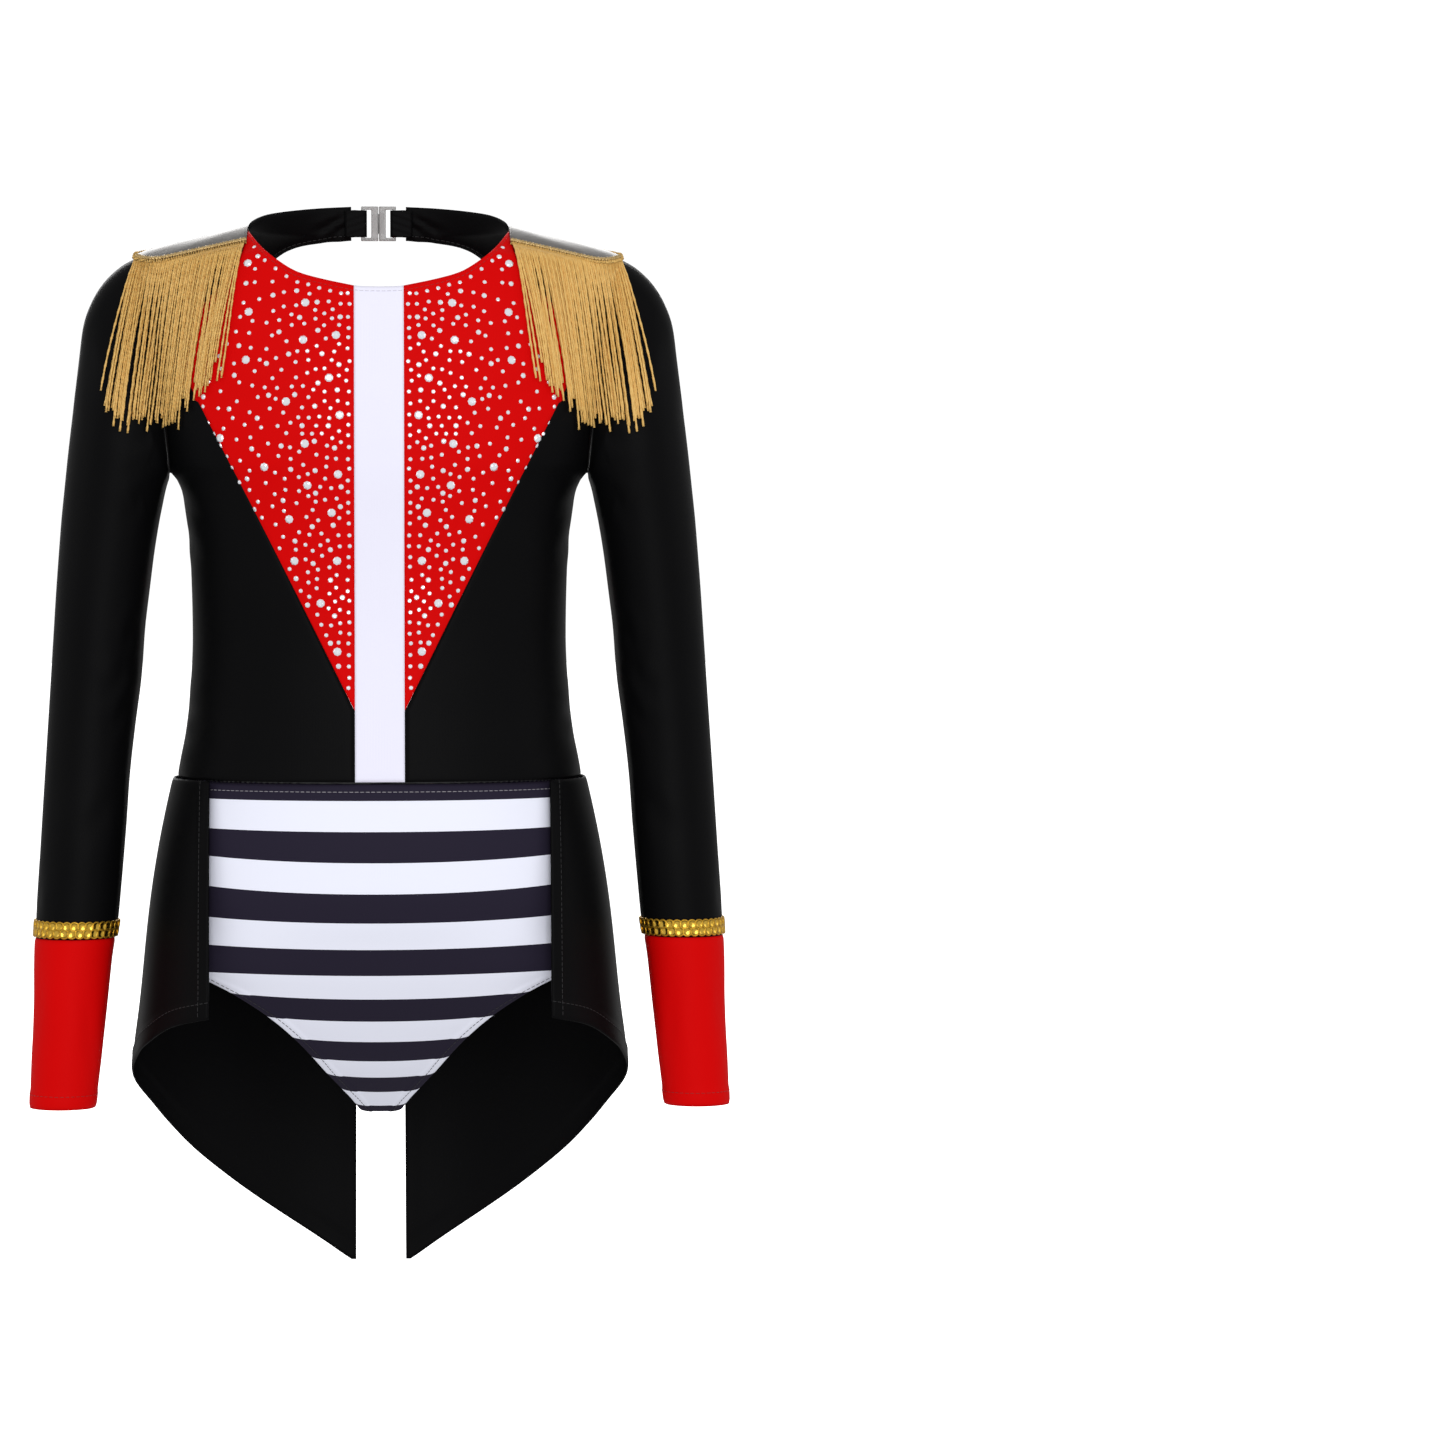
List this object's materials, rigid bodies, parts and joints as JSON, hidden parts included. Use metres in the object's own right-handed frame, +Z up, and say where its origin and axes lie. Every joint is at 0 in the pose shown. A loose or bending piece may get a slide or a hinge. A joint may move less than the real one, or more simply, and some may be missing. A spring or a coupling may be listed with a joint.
{
  "type": "majorette costume",
  "caption": "Long-sleeved stretch stage costume with an open strapped back, striped brief, tailcoat skirt and fringed shoulder boards, hollow as worn.",
  "frame": {"origin": "middle of the neck opening, at the level of the neck points, where the wearer's neck and shoulders hold the costume", "axes": "+Z up, -Y to the front of the costume, +X to the wearer's left"},
  "size_m": [0.416, 0.2061, 0.6498],
  "materials": {
    "white_jersey": "matte",
    "red_jersey": "satin",
    "red_binding": "satin",
    "black_jersey": "satin",
    "striped_jersey": "matte",
    "foil_cloth": "metallic",
    "gold_cord": "satin",
    "gold_braid": "metallic",
    "clear_plastic": "gloss"
  },
  "bodies": {
    "root": {"centre_strip": "white_jersey", "red_front_left": "red_jersey", "red_front_right": "red_jersey", "side_panel_left": "black_jersey", "side_panel_right": "black_jersey", "back_yoke_left": "black_jersey", "back_yoke_right": "black_jersey", "back_strap_1": "red_binding", "back_strap_2": "red_binding", "back_strap_3": "red_binding", "back_strap_4": "red_binding", "sleeve_left": "black_jersey", "sleeve_right": "black_jersey", "cuff_left": "red_jersey", "cuff_right": "red_jersey", "cuff_trim_left": "gold_braid", "cuff_trim_right": "gold_braid", "brief_front": "striped_jersey", "brief_back": "striped_jersey", "skirt_left": "black_jersey", "skirt_right": "black_jersey", "clasp_hook": "clear_plastic", "clasp_eye": "clear_plastic", "strap_loop_left": "black_jersey", "strap_loop_right": "black_jersey", "shoulder_board_left": "foil_cloth", "shoulder_board_right": "foil_cloth", "fringe_left": "gold_cord", "fringe_right": "gold_cord"}
  },
  "joints": []
}
